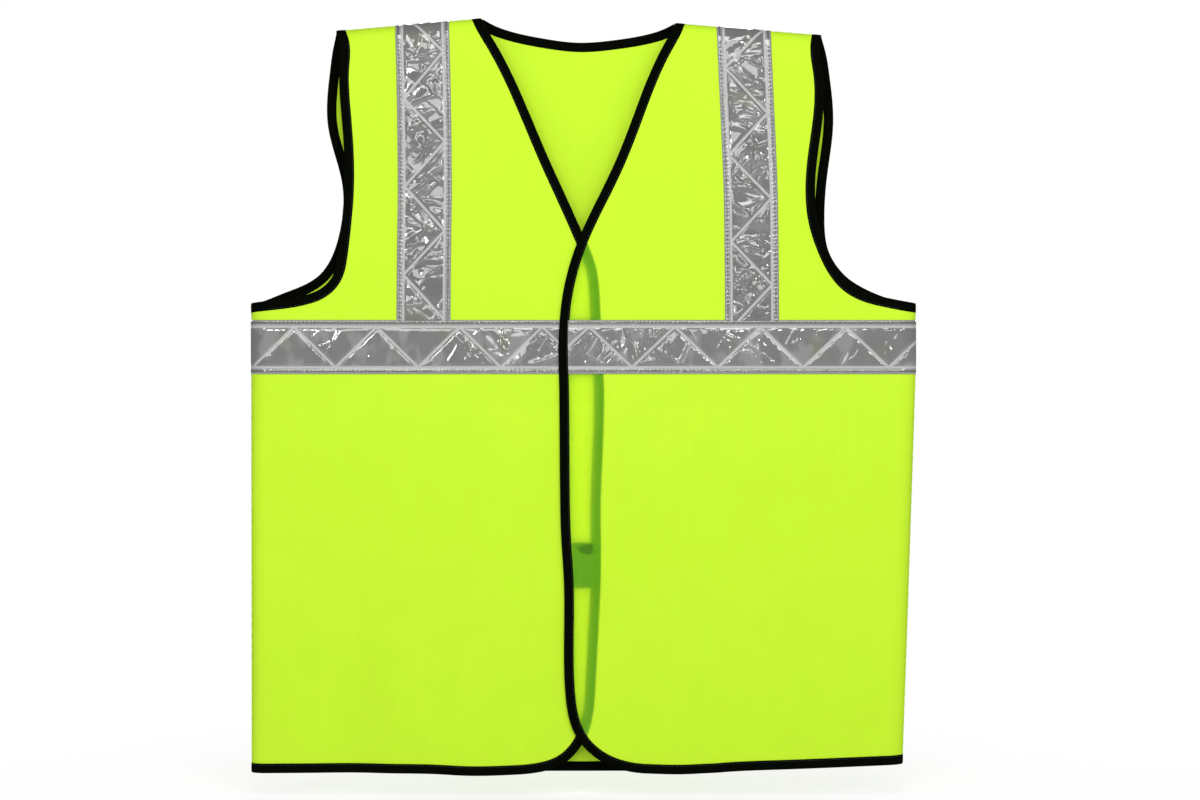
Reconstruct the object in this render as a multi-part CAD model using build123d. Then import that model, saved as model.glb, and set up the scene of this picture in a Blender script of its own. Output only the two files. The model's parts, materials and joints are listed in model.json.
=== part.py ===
from build123d import *
import math
import os

# High visibility vest: a sleeveless over-garment that opens down the front.
# Frame: +X to the wearer's left, -Y to the front, +Z up. The origin is on the
# centre plane, at the height of the two neck corners. Lengths are in millimetres.
# The vest hangs as a flat oval: a back sheet and two front sheets that face each
# other, joined by a rounded fold along each shoulder and down each side. Patterns are
# drawn flat for the wearer's left half, with the pattern's y as the vest's z, and the
# finished pieces are mirrored for the right half.

# Cut of the cloth
LENGTH = 700.0
HALF_WIDTH = 308.0
NECK_HALF_WIDTH = 90.0
NECK_UPRIGHT = 10.0
NECK_DROP_BACK = 19.0
V_CURVE = [(75, -28), (32, -130), (-8, -214)]
V_DIRECTIONS = [(-0.5, -1), (0, -1)]
V_END = -275.0
OVERLAP_HALF = 20.0
HEM_CORNER_RADIUS = 70.0
SHOULDER_TIP = (222.0, -11.3)
ARMHOLE_LOW = -264.0
BACK_ARMHOLE = [(235, -90), (225, -170), (241, -235)]
FRONT_ARMHOLE = [(222, -86), (217, -165), (227, -222), (257, -254)]
ARMHOLE_DIRECTIONS = [(0, -1), (1, -0.1)]

# Trim
BINDING_WIDTH = 9.0
BINDING_RIM = 1.0
TAPE_WIDTH = 50.0
BRACE_CENTRE = 150.0
CHEST_TAPE_TOP = -280.0
PATCH_SIZE = (20.0, 43.0)
PATCH_HEIGHT_ON_EDGE = -507.0

# Thicknesses
CLOTH = 0.8
TAPE = 0.6
PATCH = 1.1
BINDING = 2.0

# Depth of the middle of each sheet. The wearer's left front closes over the right one.
BACK_Y = 9.0
LEFT_FRONT_Y = -10.0
RIGHT_FRONT_Y = -6.4

# Each front swings open about an upright line below the neck corner.
HINGE_X = 88.0
HINGE_GAP = 0.3
FLAP_TOP = -40.0

LEFT, RIGHT = "left", "right"
FRONT_Y = {LEFT: LEFT_FRONT_Y, RIGHT: RIGHT_FRONT_Y}
NECK_CORNER = (NECK_HALF_WIDTH, 0.0)
SHOULDER_SLOPE = SHOULDER_TIP[1] / (SHOULDER_TIP[0] - NECK_HALF_WIDTH)
CHEST_TAPE_LOW = CHEST_TAPE_TOP - TAPE_WIDTH
BRACE_INNER = BRACE_CENTRE - TAPE_WIDTH / 2
BRACE_OUTER = BRACE_CENTRE + TAPE_WIDTH / 2
FAR = 900.0


# Measures

def shoulder_point(x):
    """A point on the crest of the shoulder fold."""
    return (x, SHOULDER_SLOPE * (x - NECK_HALF_WIDTH))


def fold_radius(side):
    """Outer radius of the cloth where it folds from the back sheet to a front sheet."""
    return (BACK_Y - FRONT_Y[side] + CLOTH) / 2


# Edges of the flat pattern

def armhole_edge(points):
    low_end = (HALF_WIDTH, ARMHOLE_LOW)
    return Spline(SHOULDER_TIP, *points, low_end, tangents=ARMHOLE_DIRECTIONS)


def neck_upright():
    return Line(NECK_CORNER, (NECK_HALF_WIDTH, -NECK_UPRIGHT))


def back_neck_edge():
    """The back neck with the short upright at each end, which climbs over the shoulder fold."""
    right_low = (-NECK_HALF_WIDTH, -NECK_UPRIGHT)
    left_low = (NECK_HALF_WIDTH, -NECK_UPRIGHT)
    curve = ThreePointArc(right_low, (0, -NECK_DROP_BACK), left_low)
    return Curve() + [mirror(neck_upright(), about=Plane.YZ), curve, neck_upright()]


def front_edge():
    """From the neck corner down the V and the front edge, then along the hem to the side."""
    edge_x = -OVERLAP_HALF
    corner_z = HEM_CORNER_RADIUS - LENGTH
    corner_centre = (edge_x + HEM_CORNER_RADIUS, corner_z)
    v_line = Spline(neck_upright() @ 1, *V_CURVE, (edge_x, V_END), tangents=V_DIRECTIONS)
    edge = Line((edge_x, V_END), (edge_x, corner_z))
    corner = CenterArc(corner_centre, HEM_CORNER_RADIUS, 180, 90)
    hem = Line((corner_centre[0], -LENGTH), (HALF_WIDTH, -LENGTH))
    return Curve() + [neck_upright(), v_line, edge, corner, hem]


def side_edge():
    return Line((HALF_WIDTH, ARMHOLE_LOW), (HALF_WIDTH, -LENGTH))


def hem_edge():
    return Line((-HALF_WIDTH, -LENGTH), (HALF_WIDTH, -LENGTH))


# Flat shapes

def window(x_low, x_high, z_low, z_high):
    centre = ((x_low + x_high) / 2, (z_low + z_high) / 2)
    return Pos(*centre) * Rectangle(x_high - x_low, z_high - z_low)


def strip(edge, width):
    """The band that reaches this far to each side of an edge."""
    return trace(edge, line_width=2 * width)


def binding_band(edge, outline):
    """The part of an outline that the binding along this edge covers."""
    beyond_binding = outline - strip(edge, BINDING_WIDTH)
    return outline - beyond_binding


def flat_stretch(side):
    """Where the left half is flat: inside the side fold and below the shoulder fold."""
    radius = fold_radius(side)
    outer_x = HALF_WIDTH - radius
    shoulder_drop = radius * math.hypot(1, SHOULDER_SLOPE)
    top = [(x, shoulder_point(x)[1] - shoulder_drop) for x in (-OVERLAP_HALF, outer_x)]
    return make_face(Polyline(*top, (outer_x, -LENGTH), (-OVERLAP_HALF, -LENGTH), close=True))


def front_outline(side):
    shoulder = Line(NECK_CORNER, SHOULDER_TIP)
    edges = [front_edge(), side_edge(), armhole_edge(FRONT_ARMHOLE), shoulder]
    return make_face([edge for line in edges for edge in line.edges()]) & flat_stretch(side)


def back_half_outline(side):
    """The back from the centre to one side fold."""
    half = [Line(NECK_CORNER, SHOULDER_TIP), armhole_edge(BACK_ARMHOLE), side_edge()]
    both = half + [mirror(line, about=Plane.YZ) for line in half] + [back_neck_edge(), hem_edge()]
    whole = make_face([edge for line in both for edge in line.edges()])
    return whole & flat_stretch(side) & window(0, FAR, -FAR, FAR)


def back_outline():
    return back_half_outline(LEFT) + mirror(back_half_outline(RIGHT), about=Plane.YZ)


# Solids

def sheet(shape, middle_y, thickness):
    """A flat piece of this thickness about the plane y = middle_y."""
    back_face = Plane.XZ.offset(-middle_y - thickness / 2)
    return extrude(back_face * shape, amount=thickness)


def fold(start, end, side, inner, outer):
    """A half round shell between two radii, along a crest line of the left half.

    The line runs outward along a shoulder and downward along a side, which turns the
    round outward.
    """
    radius = fold_radius(side)
    along = Vector(end[0] - start[0], 0, end[1] - start[1])
    middle_y = (BACK_Y + FRONT_Y[side]) / 2
    section_plane = Plane((start[0], middle_y, start[1]), x_dir=(0, 1, 0), z_dir=along)
    ring = Pos(0, -radius) * (Circle(outer) - Circle(inner))
    half_ring = ring & window(-FAR, FAR, -radius, FAR)
    return extrude(section_plane * half_ring, amount=along.length)


def cloth_fold(start, end, side):
    return fold(start, end, side, fold_radius(side) - CLOTH, fold_radius(side))


def tape_fold(start, end, side):
    return fold(start, end, side, fold_radius(side), fold_radius(side) + TAPE)


def binding_fold(start, end, side):
    middle = fold_radius(side) - CLOTH / 2
    return fold(start, end, side, middle - BINDING / 2, middle + BINDING / 2)


def front_tape(shape, side):
    return sheet(shape, FRONT_Y[side] - (CLOTH + TAPE) / 2, TAPE)


def back_tape(shape):
    return sheet(shape, BACK_Y + (CLOTH + TAPE) / 2, TAPE)


def placed(solid, side):
    """A piece drawn for the left half, in its place on this side."""
    return solid if side == LEFT else mirror(solid, about=Plane.YZ)


# Pieces of one half, drawn for the left

def side_seam(side):
    top = (HALF_WIDTH, ARMHOLE_LOW - BINDING_RIM)
    return cloth_fold(top, (HALF_WIDTH, BINDING_RIM - LENGTH), side)


def shoulder_seam(side):
    start = shoulder_point(NECK_HALF_WIDTH + BINDING_RIM)
    return cloth_fold(start, shoulder_point(SHOULDER_TIP[0] - BINDING_RIM), side)


def front_cloth(side):
    rims = strip(front_edge(), BINDING_RIM) + strip(armhole_edge(FRONT_ARMHOLE), BINDING_RIM)
    return front_outline(side) - rims


def flap_zone(gap):
    return window(-FAR, HINGE_X - gap, -FAR, FLAP_TOP - gap)


def front_pieces(side):
    """The front sheet, its trim and its seams, by name."""
    middle_y = FRONT_Y[side]
    flap, beside_flap = flap_zone(HINGE_GAP), flap_zone(0)
    cloth = front_cloth(side)
    edge_band = binding_band(front_edge(), front_outline(side))
    armhole_band = binding_band(armhole_edge(FRONT_ARMHOLE), front_outline(side))
    fixed_band = edge_band - beside_flap
    panel = sheet(cloth - beside_flap, middle_y, CLOTH)
    flap_panel = sheet(cloth & flap, middle_y, CLOTH)
    below_flap_top = window(-FAR, FAR, -FAR, FLAP_TOP)
    binding_inner_x = BINDING_WIDTH - OVERLAP_HALF
    chest = window(binding_inner_x, HALF_WIDTH - fold_radius(side), CHEST_TAPE_LOW, CHEST_TAPE_TOP)
    brace = window(BRACE_INNER, BRACE_OUTER, CHEST_TAPE_TOP, 0) & flat_stretch(side)
    return {
        "front_panel": panel,
        "front_flap": flap_panel,
        "edge_binding": sheet(edge_band & flap, middle_y, BINDING) - flap_panel,
        "front_hem_binding": sheet(fixed_band & below_flap_top, middle_y, BINDING) - panel,
        "front_armhole_binding": sheet(armhole_band, middle_y, BINDING) - panel,
        "neck_corner": sheet(fixed_band - below_flap_top, middle_y, BINDING) - panel,
        "front_brace_tape": front_tape(brace, side),
        "front_chest_tape": front_tape(chest - beside_flap, side),
        "flap_chest_tape": front_tape(chest & flap, side),
        "side_seam": side_seam(side),
        "shoulder_seam": shoulder_seam(side),
    }


def back_armhole_binding(side, panel):
    """The back stretch of an armhole's binding, with its turn over the shoulder and the side."""
    band = binding_band(armhole_edge(BACK_ARMHOLE), back_half_outline(side))
    over_shoulder = binding_fold(
        shoulder_point(SHOULDER_TIP[0] - BINDING_WIDTH), shoulder_point(SHOULDER_TIP[0]), side
    )
    side_top = (HALF_WIDTH, ARMHOLE_LOW)
    round_side = binding_fold(side_top, (HALF_WIDTH, ARMHOLE_LOW - BINDING_WIDTH), side)
    flat_part = sheet(band, BACK_Y, BINDING) - panel
    return flat_part + (over_shoulder - shoulder_seam(side)) + (round_side - side_seam(side))


def back_brace_tape(side):
    """The tape down the back from its turn over the shoulder."""
    flat_part = back_tape(window(BRACE_INNER, BRACE_OUTER, CHEST_TAPE_TOP, 0) & flat_stretch(side))
    return flat_part + tape_fold(shoulder_point(BRACE_INNER), shoulder_point(BRACE_OUTER), side)


def neck_turn(side):
    """The neck binding where it climbs over the end of the shoulder fold."""
    outer_end = shoulder_point(NECK_HALF_WIDTH + BINDING_WIDTH)
    return binding_fold(NECK_CORNER, outer_end, side) - shoulder_seam(side)


def hem_turn(side):
    top = (HALF_WIDTH, BINDING_WIDTH - LENGTH)
    return binding_fold(top, (HALF_WIDTH, -LENGTH), side) - side_seam(side)


def chest_turn(side):
    return tape_fold((HALF_WIDTH, CHEST_TAPE_TOP), (HALF_WIDTH, CHEST_TAPE_LOW), side)


# Pieces that cross the centre

def back_panel():
    rims = strip(back_neck_edge(), BINDING_RIM) + strip(hem_edge(), BINDING_RIM)
    armhole_rim = strip(armhole_edge(BACK_ARMHOLE), BINDING_RIM)
    cloth = back_outline() - rims - armhole_rim - mirror(armhole_rim, about=Plane.YZ)
    return sheet(cloth, BACK_Y, CLOTH)


def both_sides(make):
    """A left piece and a right piece, made by the same function."""
    return [placed(make(side), side) for side in (LEFT, RIGHT)]


def neck_binding(panel, corners):
    """The binding round the back neck, over both shoulders and on to the top of each front."""
    band = binding_band(back_neck_edge(), back_outline())
    binding = sheet(band, BACK_Y, BINDING) - panel
    for piece in both_sides(neck_turn) + corners:
        binding = binding + piece
    return binding


def back_hem_binding(panel):
    band = binding_band(hem_edge(), back_outline())
    binding = sheet(band, BACK_Y, BINDING) - panel
    for piece in both_sides(hem_turn):
        binding = binding + piece
    return binding


def back_chest_tape():
    """The tape across the back, turned round each side fold to meet the front tapes."""
    left_x = HALF_WIDTH - fold_radius(LEFT)
    right_x = fold_radius(RIGHT) - HALF_WIDTH
    tape = back_tape(window(right_x, left_x, CHEST_TAPE_LOW, CHEST_TAPE_TOP))
    for piece in both_sides(chest_turn):
        tape = tape + piece
    return tape


def patch(side):
    """One half of the hook and loop closure, on the face that meets the other half."""
    inward = 1 if side == LEFT else -1
    middle_y = FRONT_Y[side] + inward * (CLOTH + PATCH) / 2
    return sheet(Pos(0, PATCH_HEIGHT_ON_EDGE) * Rectangle(*PATCH_SIZE), middle_y, PATCH)


def all_pieces():
    panel = back_panel()
    pieces = {"back_panel": panel, "back_chest_tape": back_chest_tape()}
    pieces["back_hem_binding"] = back_hem_binding(panel)
    pieces["hook_patch"] = patch(LEFT)
    pieces["loop_patch"] = patch(RIGHT)
    corners = []
    for side in (LEFT, RIGHT):
        fronts = front_pieces(side)
        corners.append(placed(fronts.pop("neck_corner"), side))
        fronts["back_brace_tape"] = back_brace_tape(side)
        fronts["back_armhole_binding"] = back_armhole_binding(side, placed(panel, side))
        for name, solid in fronts.items():
            pieces[f"{side}_{name}"] = placed(solid, side)
    pieces["neck_binding"] = neck_binding(panel, corners)
    return pieces


os.makedirs("parts", exist_ok=True)
for piece_name, piece in all_pieces().items():
    export_step(Compound(children=piece.solids()), f"parts/{piece_name}.step")
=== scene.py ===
import json
import math
from functools import cache

import bmesh
import bpy
import numpy as np
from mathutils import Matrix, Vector, noise


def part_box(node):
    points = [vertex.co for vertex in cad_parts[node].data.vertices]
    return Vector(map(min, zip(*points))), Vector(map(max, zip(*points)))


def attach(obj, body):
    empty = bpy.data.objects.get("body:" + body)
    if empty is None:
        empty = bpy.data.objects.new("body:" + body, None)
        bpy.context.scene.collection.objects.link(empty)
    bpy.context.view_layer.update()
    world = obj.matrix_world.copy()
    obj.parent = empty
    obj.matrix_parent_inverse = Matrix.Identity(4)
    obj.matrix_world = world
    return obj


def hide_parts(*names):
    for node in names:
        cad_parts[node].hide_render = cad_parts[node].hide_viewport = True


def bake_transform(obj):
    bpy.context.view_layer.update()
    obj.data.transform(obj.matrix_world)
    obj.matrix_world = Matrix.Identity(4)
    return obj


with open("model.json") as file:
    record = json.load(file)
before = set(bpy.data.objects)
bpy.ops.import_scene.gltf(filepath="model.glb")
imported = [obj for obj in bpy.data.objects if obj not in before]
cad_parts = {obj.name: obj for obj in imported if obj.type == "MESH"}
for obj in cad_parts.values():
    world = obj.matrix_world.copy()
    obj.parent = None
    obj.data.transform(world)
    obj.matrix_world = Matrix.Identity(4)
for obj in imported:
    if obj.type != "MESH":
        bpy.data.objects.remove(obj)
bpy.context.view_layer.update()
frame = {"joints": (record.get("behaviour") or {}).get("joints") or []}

# A high visibility vest that hangs as a flat oval: a back sheet and two fronts, the
# wearer's left one (+X) closed over the right one. Lengths are in millimetres and turn
# into metres only where a mesh is made. Points of the flat cut are (x, z) pairs, drawn
# for the wearer's left half and mirrored for the right one.

MM = 0.001
X, Y, Z = range(3)
LEFT, RIGHT, BACK = "left", "right", "back"
SIGN = {LEFT: 1, RIGHT: -1}


def reach(node, axis):
    """The lowest and highest reach of a CAD node along one axis."""
    low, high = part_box(node)
    return low[axis] / MM, high[axis] / MM


def centre(node, axis):
    """The middle of a CAD node along one axis."""
    low, high = reach(node, axis)
    return (low + high) / 2


# Places taken from the frame
HALF_WIDTH = reach("left_side_seam", X)[1]
HEM = reach("back_hem_binding", Z)[0]
BACK_Y = centre("back_panel", Y)
FRONT_Y = {side: centre(f"{side}_front_flap", Y) for side in SIGN}
CHEST_LOW, CHEST_TOP = reach("left_front_chest_tape", Z)
TAPE_WIDTH = CHEST_TOP - CHEST_LOW
BRACE_CENTRE = centre("left_front_brace_tape", X)
MIDDLE_Y = (BACK_Y + FRONT_Y[LEFT]) / 2
HALF_DEPTH = (BACK_Y - FRONT_Y[LEFT]) / 2
UNDER_EASE = FRONT_Y[RIGHT] - FRONT_Y[LEFT]
JOINTS = {joint["name"]: joint for joint in frame["joints"]}
HINGE = {side: [p / MM for p in JOINTS[f"{side}_front_open"]["pos_m"]] for side in SIGN}
BODY = {side: f"{side}_front" for side in SIGN}
ROOT_BODY = "vest_body"

# The cut's edges, as points of the outer rim of the binding
NECK_CORNER = (90.0, 0.0)
SHOULDER_TIP = (225.5, -11.6)
SIDE_TOP = (HALF_WIDTH, -264.0)
BACK_NECK = [(-82, -3.2), (-60, -10.6), (-32, -15.8), (0, -18.8), (32, -15.8), (60, -10.6), (82, -3.2)]
FRONT_EDGE = {
    LEFT: [
        (76.5, -25), (32, -129), (-6.5, -210), (-19, -255), (-23, -340), (-21.6, -450),
        (-20.4, -482), (-17.9, -518), (-17.3, -560), (-16.5, -625),
    ],
    RIGHT: [
        (76.5, -25), (32, -129), (-3.9, -211), (-11.2, -232), (-14.3, -257), (-15.6, -285),
        (-17.8, -340), (-17, -400), (-15.5, -450), (-16.3, -505), (-14.8, -555), (-11.5, -615),
    ],
}
HEM_CORNER = {LEFT: [(-6.5, -666), (12.4, -686)], RIGHT: [(0.5, -672), (18.2, -691)]}
HEM_START_X = 62.0
BACK_ARMHOLE = {
    LEFT: [
        (229.2, -24), (232.4, -47), (234.6, -95), (226.3, -155), (224.7, -187), (229, -216.5),
        (236, -229), (246, -240), (262, -250.2), (281, -258.2),
    ],
    RIGHT: [(229.4, -24), (233.2, -45), (236.8, -99), (225, -152), (227.3, -197), (247, -238), (284, -256)],
}
FRONT_ARMHOLE = {
    LEFT: [
        (223.2, -22), (224.8, -48), (223, -94), (214.6, -165), (217.2, -188), (226, -215),
        (236, -234), (248.2, -247), (265, -255.2), (284, -259.8),
    ],
    RIGHT: [
        (222.0, -22), (222.5, -45), (222, -95), (221, -150), (223.8, -190), (227.6, -222),
        (232.1, -239), (241, -249.5), (260, -257.5), (282, -261.2),
    ],
}

# The cloth and the trim on it
CLOTH = 0.5
FOLD_REACH = 15.0
BINDING_WIDTH = 9.0
BINDING_HALF_THICKNESS = 0.95
RIM_INSET = 1.3
SEAM_STEP = 2.0
BRACE_SHIFT = 4.0
BRACE_SPLAY = 3.0
BRACE_CREST_AT = 150.0
FRONT_EDGE_AT_CHEST = {LEFT: 22.0, RIGHT: 16.0}

# The tapes' weld lines, and the clear film between them
WELD_INSET = 6.2
WELD_HALF_WIDTH = 1.15
WELD_PITCH = 79.0
BRACE_PITCH = {LEFT: 80.0, RIGHT: 82.0}
CHEST_PITCH = {LEFT: 79.3, RIGHT: 76.5}
ZIGZAG_LEAD = {LEFT: 6.5, RIGHT: -42.8}
CHEST_ZIGZAG_TOP = {LEFT: 5.2, RIGHT: -38.2}
FILM_HEIGHT = 0.55
FILM_RELIEF = 0.55
CREASE_SPACING = 2.6
HALF_INNER = TAPE_WIDTH / 2 - WELD_INSET

# Stitches: the thread's height off the cloth's middle, then its pitch, size and scatter
STITCH_INSET = 2.6
TRIM_STITCH_INSET = 1.4
TAPE_STITCH = {
    "lift": CLOTH / 2 + FILM_HEIGHT + 0.35, "pitch": 3.6, "length": 2.5, "radius": 0.24, "wander": 0.15,
}
TRIM_STITCH = {
    "lift": 0.6 * BINDING_HALF_THICKNESS, "pitch": 3.4, "length": 2.3, "radius": 0.2, "wander": 0.0,
}

# How the vest hangs askew
SHOULDER_SHIFT = 4.8
SIDE_TAPER = 0.0325
EDGE_DRIFT = 0.6
NECK_DROP = 2.2
HEM_RISE = 8.0
HEM_DIP = 2.2

# Waves of the cloth, and where folds, creases and loose film lie: (place, reach each way, height)
WAVE_DEPTH = 1.45
HANGING_FOLDS = [(-216, 26, 1.7), (-176, 22, -1.5), (-131, 20, 1.4), (128, 10, -1.1), (110, 9, 0.9)]
PRESSED_CREASES = [(-359, 5, 0.9), (-492, 5, 0.8), (-371, 9, -0.7)]
LOOSE_FILM = [(45, 45, 1.25), (-45, 30, 0.4), (-235, 30, 0.08), (160, 50, 0.2)]

# Colours. The sheer ones are the shares of light that the thin cloth sends back and lets through,
# and the open share of that cloth is gaps between its yarns.
LIME = (0.455, 0.715, 0.023)
SHEER_BACK = (0.047, 0.165, 0.004)
SHEER_THROUGH = (0.450, 0.350, 0.290)
OPEN_SHARE = 0.5
PALE_THREAD = ("pale_thread", (0.14, 0.14, 0.135), (0.34, 0.34, 0.33))
BLACK_THREAD = ("black_thread", (0.01, 0.01, 0.01), (0.035, 0.035, 0.033))

# The camera, where the vest's outline in view matches the photo's
CAMERA_X = 15.3
CAMERA_DISTANCE = 2624.0
CAMERA_Z = -354.0


# Lines and curves

def unit(vector):
    vector = np.asarray(vector, float)
    return vector / np.linalg.norm(vector, axis=-1, keepdims=True)


def smooth_line(points, start, end, spacing=0.5):
    """Closely spaced points along a cubic spline, which leaves and arrives in set directions."""
    points = np.array(points, float)
    steps = np.linalg.norm(np.diff(points, axis=0), axis=1)
    count = len(points)
    system = np.eye(count)
    slopes = np.zeros_like(points)
    slopes[0] = unit(start)
    slopes[-1] = unit(end)
    for i in range(1, count - 1):
        before, after = 1 / steps[i - 1], 1 / steps[i]
        system[i, i - 1:i + 2] = before, 2 * (before + after), after
        slopes[i] = 3 * (points[i] - points[i - 1]) * before**2 + 3 * (points[i + 1] - points[i]) * after**2
    slopes = np.linalg.solve(system, slopes)
    at = np.concatenate([[0], np.cumsum(steps)])
    fine = np.linspace(0, at[-1], int(at[-1] / spacing) + 1)
    span = np.clip(np.searchsorted(at, fine, side="right") - 1, 0, count - 2)
    step = steps[span][:, None]
    t = (fine - at[span])[:, None] / step
    return (
        (1 + 2 * t) * (1 - t) ** 2 * points[span]
        + t * (1 - t) ** 2 * step * slopes[span]
        + t**2 * (3 - 2 * t) * points[span + 1]
        - t**2 * (1 - t) * step * slopes[span + 1]
    )


def lengths_along(line):
    """Distance of each point from the first, along the line."""
    return np.concatenate([[0], np.cumsum(np.linalg.norm(np.diff(line, axis=0), axis=1))])


def resample(line, at):
    """Points of a line at these lengths along it."""
    along = lengths_along(line)
    return np.stack([np.interp(at, along, line[:, i]) for i in range(line.shape[1])], axis=1)


def inward_normals(line, turn):
    """Unit normals of a flat line, to its left where turn is 1 and to its right where it is -1."""
    tangent = unit(np.gradient(line, axis=0))
    return turn * np.stack([-tangent[:, 1], tangent[:, 0]], axis=1)


def smoothstep(value, low, high):
    """0 up to low, 1 from high on, and smooth between."""
    t = np.clip((value - low) / (high - low), 0, 1)
    return t * t * (3 - 2 * t)


def bump(value, middle, reach_each_way):
    """1 at the middle, falling smoothly to 0."""
    return np.exp(-(((value - middle) / reach_each_way) ** 2))

def bumps(value, places):
    """The sum of a bump for each (middle, reach each way, height)."""
    return sum(height * bump(value, middle, each_way) for middle, each_way, height in places)


# The cloth's shape

def shoulder_height(x):
    """Height of the shoulder fold's crest, and of the level line between the neck corners."""
    slope = SHOULDER_TIP[1] / (SHOULDER_TIP[0] - NECK_CORNER[0])
    return slope * np.clip(np.abs(x) - NECK_CORNER[0], 0, None)


def roundness(distance):
    """Share of the full depth at this distance from a fold's crest."""
    return np.sqrt(1 - (1 - np.clip(distance / FOLD_REACH, 0, 1)) ** 2)


def folds(x, z, facing):
    """Soft waves of one sheet, which stay small along the hinge lines and the overlap."""
    low_down = smoothstep(-z, 330, 690)
    calm_at_hinge = 1 - 0.75 * bump(np.abs(x), HINGE[LEFT][X], 30)
    calm_at_overlap = 0.17 + 0.83 * smoothstep(np.abs(x), 20, 70)
    # Each wave is a height times the sine of a place over a length
    waves = 1.5 * low_down * np.sin(x / 41 + 0.7 + 0.35 * np.sin(z / 90))
    waves = waves + 0.8 * np.sin(x / 63 - z / 170 + 1.9) + 0.5 * np.sin(z / 47 + x / 140)
    waves = waves + low_down * bumps(x, HANGING_FOLDS)
    pressed = bumps(z, PRESSED_CREASES) * (0.65 + 0.35 * np.sin(x / 70 + 0.4))
    return -facing * (WAVE_DEPTH * waves * calm_at_hinge * calm_at_overlap + pressed)


def common_lean(x, z):
    """How both sheets bow together."""
    return 1.1 * np.sin(z / 150 + 0.5) + 0.8 * np.sin(x / 120 + z / 210 + 1.2) * smoothstep(-z, 40, 160)


def lay(x, z):
    """Where a point of the cut comes to lie, as the vest hangs a little askew."""
    near_top = np.clip(1 + z / 165, 0, 1)
    below_chest = np.clip(-z - 330, 0, None)
    left_share = np.clip(x, 0, None) / HALF_WIDTH
    shift = -SHOULDER_SHIFT * near_top**1.2 - SIDE_TAPER * below_chest * left_share
    drift = EDGE_DRIFT * bump(x, 0, 60) * np.sin((z + 455) / 70) * smoothstep(-z, 300, 350)
    drop = NECK_DROP * (1 + np.clip(x / NECK_CORNER[0], -1, 1)) * np.clip(1 + z / 120, 0, 1)
    hem_rise = HEM_RISE * left_share**1.5 - HEM_DIP * bump(np.abs(x), 98, 40)
    return x + shift + drift, z - drop + hem_rise * smoothstep(-z, 560, 700)


def surface(x, z, sheet):
    """Points of the cloth's middle as it hangs, at x and z of the flat cut. sheet may be an array."""
    x, z = np.broadcast_arrays(np.asarray(x, float), np.asarray(z, float))
    facing = np.where(sheet == BACK, 1, -1)
    depth = roundness(HALF_WIDTH - np.abs(x)) * roundness(shoulder_height(x) - z)
    ease = np.where(sheet == RIGHT, UNDER_EASE, 0) * smoothstep(x, -80, -26)
    offset = facing * HALF_DEPTH + folds(x, z, facing) + ease
    y = MIDDLE_Y + common_lean(x, z) + offset * depth
    laid_x, laid_z = lay(x, z)
    return np.stack([laid_x, y, laid_z], axis=-1)


def outward(x, z, sheet):
    """Unit normals of the cloth, away from the wearer."""
    step = 0.001
    crest_gap = 0.004
    x, z = np.broadcast_arrays(np.asarray(x, float), np.asarray(z, float))
    x = np.clip(x, crest_gap - HALF_WIDTH, HALF_WIDTH - crest_gap)
    z = np.minimum(z, shoulder_height(x) - crest_gap)
    across = surface(x + step, z, sheet) - surface(x - step, z, sheet)
    up = surface(x, z + step, sheet) - surface(x, z - step, sheet)
    return unit(np.cross(across, up)) * np.where(sheet == BACK, -1, 1)[..., None]


# The cut's edges

def shoulder_direction():
    """Along the shoulder, from the neck corner out."""
    return unit([SHOULDER_TIP[0] - NECK_CORNER[0], SHOULDER_TIP[1]])


def front_edge(side):
    """From the neck corner down the V and the front edge, round the corner and along the hem."""
    down = smooth_line(
        [NECK_CORNER, *FRONT_EDGE[side], *HEM_CORNER[side], (HEM_START_X, HEM)], (-0.45, -1), (1, 0)
    )
    hem_run = np.linspace((HEM_START_X, HEM), (HALF_WIDTH, HEM), 500)[1:]
    return np.concatenate([down, hem_run])


def armhole(side, sheet):
    """From the shoulder tip down to the top of the side fold, on a front or on the back."""
    points = (BACK_ARMHOLE if sheet == BACK else FRONT_ARMHOLE)[side]
    start = (0.35, -1) if sheet == BACK else (-0.3, -1)
    return smooth_line([SHOULDER_TIP, *points, SIDE_TOP], start, (1, -0.12))


def back_neck():
    """From the wearer's right neck corner to the left one."""
    left, right = NECK_CORNER, (-NECK_CORNER[0], NECK_CORNER[1])
    return smooth_line([right, *BACK_NECK, left], (1, -0.2), (1, 0.2))


def inset(line, distance, turn):
    """A line moved sideways, to its left where turn is 1 and to its right where it is -1."""
    return line + distance * inward_normals(line, turn)


# Meshes

def make_piece(name, points, faces, cut, surface_material, closed=True):
    """An object from points in millimetres. cut is each point's place on its own flat cut."""
    mesh = bpy.data.meshes.new(name)
    mesh.from_pydata((np.asarray(points).reshape(-1, 3) * MM).tolist(), [], faces)
    store(mesh, "cut", "FLOAT_VECTOR", "vector", cut)
    mesh.materials.append(surface_material)
    mesh.shade_smooth()
    if closed:
        turn_outward(mesh)
    piece = bpy.data.objects.new(name, mesh)
    bpy.context.scene.collection.objects.link(piece)
    return piece


def store(mesh, name, kind, field, lengths):
    """Keeps a length or a place for each point of a mesh, for its material to read."""
    attribute = mesh.attributes.new(name, kind, "POINT")
    attribute.data.foreach_set(field, (np.asarray(lengths) * MM).astype(np.float32).ravel())


def grid_faces(index, flip=False):
    """Quads between the rows of an index grid, and triangles where two corners are one point."""
    faces = []
    for upper, lower in zip(index[:-1].tolist(), index[1:].tolist()):
        for k in range(len(upper) - 1):
            corners = list(dict.fromkeys([upper[k], lower[k], lower[k + 1], upper[k + 1]]))
            if len(corners) > 2:
                faces.append(corners[::-1] if flip else corners)
    return faces


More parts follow.
